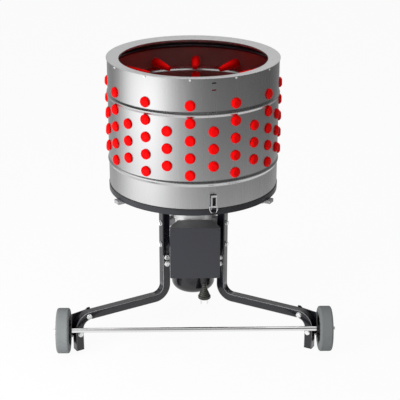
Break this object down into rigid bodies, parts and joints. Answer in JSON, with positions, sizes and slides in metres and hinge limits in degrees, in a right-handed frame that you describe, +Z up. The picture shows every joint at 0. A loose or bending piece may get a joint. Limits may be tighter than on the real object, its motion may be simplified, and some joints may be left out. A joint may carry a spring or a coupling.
{
  "type": "poultry plucker",
  "caption": "Drum poultry plucker: rubber-fingered steel drum over a geared spinning feather plate, on three bent tube legs with two transport wheels and a mains control box.",
  "frame": {"origin": "on the floor, at the middle of the outline box", "axes": "+Z up, -Y to the front where the control box is, +X to the right of a person facing the control box"},
  "size_m": [0.823, 0.6934, 0.8365],
  "materials": {
    "drum_steel": "brushed stainless sheet",
    "ring_steel": "satin stainless",
    "plate_steel": "satin stainless",
    "latch_steel": "pressed bright steel",
    "latch_wire": "bright wire",
    "zinc": "bright zinc plate",
    "finger_rubber": "matt moulded rubber",
    "tray_paint": "dark satin paint",
    "leg_paint": "dark grey powder coat",
    "arm_steel": "grey painted steel",
    "axle_chrome": "polished rod",
    "motor_alu": "cast and painted silver",
    "gear_steel": "machined steel",
    "stator_iron": "laminated core with varnished windings",
    "box_paint": "dark blue-grey satin paint",
    "black_plastic": "satin black plastic",
    "black_rubber": "matt black rubber",
    "cord_rubber": "matt black flexible jacket",
    "plug_rubber": "black moulded plug",
    "tie_plastic": "natural plastic strap",
    "fan_plastic": "moulded plastic",
    "tyre_rubber": "solid grey rubber",
    "hub_plastic": "dark moulded plastic",
    "brass": "machined brass"
  },
  "bodies": {
    "frame": {"drum_shell": "drum_steel", "top_ring": "ring_steel", "rim_screws": "zinc", "wall_fingers": "finger_rubber", "spray_ring": "black_plastic", "hose_inlet": "brass", "latch_bases": "tray_paint", "latch_hooks": "tray_paint", "tray": "tray_paint", "support_arms": "arm_steel", "arm_bolts": "zinc", "leg_uppers": "leg_paint", "leg_lower_left": "leg_paint", "leg_lower_right": "leg_paint", "leg_lower_rear": "leg_paint", "leg_sleeves": "arm_steel", "foot_caps": "black_rubber", "cross_bolts": "zinc", "cross_nuts": "zinc", "saddles": "arm_steel", "saddle_bolts": "zinc", "wheel_brackets": "leg_paint", "axle": "axle_chrome", "axle_caps": "zinc", "gear_case": "motor_alu", "ring_gear": "gear_steel", "shaft_bearings": "gear_steel", "motor_housing": "motor_alu", "stator": "stator_iron", "end_bell": "motor_alu", "fan_cowl": "black_plastic", "box_body": "box_paint", "box_cover": "box_paint", "cover_screws": "box_paint", "cord_gland": "black_plastic", "cord_hook": "arm_steel", "power_cord": "cord_rubber", "cord_coil": "cord_rubber", "cord_tie": "tie_plastic", "plug_body": "plug_rubber", "plug_pins": "latch_steel"},
    "plate": {"feather_plate": "plate_steel", "plate_fingers": "finger_rubber", "output_shaft": "gear_steel", "shaft_nut": "plate_steel"},
    "rotor": {"rotor": "gear_steel", "cooling_fan": "fan_plastic"},
    "planet_1": {"planet_1": "gear_steel"},
    "planet_2": {"planet_2": "gear_steel"},
    "planet_3": {"planet_3": "gear_steel"},
    "wheel_left": {"tyre_left": "tyre_rubber", "hub_left": "hub_plastic"},
    "wheel_right": {"tyre_right": "tyre_rubber", "hub_right": "hub_plastic"},
    "lever_1": {"latch_lever_1": "latch_steel"},
    "bail_1": {"latch_bail_1": "latch_wire"},
    "lever_2": {"latch_lever_2": "latch_steel"},
    "bail_2": {"latch_bail_2": "latch_wire"},
    "lever_3": {"latch_lever_3": "latch_steel"},
    "bail_3": {"latch_bail_3": "latch_wire"}
  },
  "joints": [
    {"name": "plate_spin", "type": "hinge", "parent": "frame", "child": "plate", "pos_m": [0, -0.05975, 0.47], "axis": [0, 0, 1], "continuous": true},
    {"name": "rotor_spin", "type": "hinge", "parent": "frame", "child": "rotor", "pos_m": [0, -0.05975, 0.26], "axis": [0, 0, 1], "continuous": true},
    {"name": "planet_1_spin", "type": "hinge", "parent": "plate", "child": "planet_1", "pos_m": [0.02813, -0.05975, 0.388], "axis": [0, 0, 1], "continuous": true},
    {"name": "planet_2_spin", "type": "hinge", "parent": "plate", "child": "planet_2", "pos_m": [-0.01406, -0.03539, 0.388], "axis": [0, 0, 1], "continuous": true},
    {"name": "planet_3_spin", "type": "hinge", "parent": "plate", "child": "planet_3", "pos_m": [-0.01406, -0.08411, 0.388], "axis": [0, 0, 1], "continuous": true},
    {"name": "wheel_left_spin", "type": "hinge", "parent": "frame", "child": "wheel_left", "pos_m": [-0.3815, -0.28075, 0.0725], "axis": [1, 0, 0], "continuous": true},
    {"name": "wheel_right_spin", "type": "hinge", "parent": "frame", "child": "wheel_right", "pos_m": [0.3815, -0.28075, 0.0725], "axis": [1, 0, 0], "continuous": true},
    {"name": "lever_1_turn", "type": "hinge", "parent": "frame", "child": "lever_1", "pos_m": [0.05271, -0.30771, 0.4635], "axis": [0.9781, 0.2079, 0], "range_deg": [0, 110]},
    {"name": "bail_1_turn", "type": "hinge", "parent": "lever_1", "child": "bail_1", "pos_m": [0.05237, -0.30615, 0.46876], "axis": [0.9781, 0.2079, 0], "range_deg": [-85.8, 0]},
    {"name": "lever_2_turn", "type": "hinge", "parent": "frame", "child": "lever_2", "pos_m": [-0.24109, 0.01859, 0.4635], "axis": [-0.309, -0.9511, 0], "range_deg": [0, 110]},
    {"name": "bail_2_turn", "type": "hinge", "parent": "lever_2", "child": "bail_2", "pos_m": [-0.23957, 0.01809, 0.46876], "axis": [-0.309, -0.9511, 0], "range_deg": [-85.8, 0]},
    {"name": "lever_3_turn", "type": "hinge", "parent": "frame", "child": "lever_3", "pos_m": [0.18839, 0.10987, 0.4635], "axis": [-0.6691, 0.7431, 0], "range_deg": [0, 110]},
    {"name": "bail_3_turn", "type": "hinge", "parent": "lever_3", "child": "bail_3", "pos_m": [0.1872, 0.1088, 0.46876], "axis": [-0.6691, 0.7431, 0], "range_deg": [-85.8, 0]}
  ],
  "couplings": [
    {"joint": "rotor_spin", "follows": "plate_spin", "ratio": 5},
    {"joint": "planet_1_spin", "follows": "plate_spin", "ratio": -2.6667},
    {"joint": "planet_2_spin", "follows": "plate_spin", "ratio": -2.6667},
    {"joint": "planet_3_spin", "follows": "plate_spin", "ratio": -2.6667},
    {"joint": "bail_1_turn", "follows": "lever_1_turn", "ratio": -0.78},
    {"joint": "bail_2_turn", "follows": "lever_2_turn", "ratio": -0.78},
    {"joint": "bail_3_turn", "follows": "lever_3_turn", "ratio": -0.78}
  ]
}
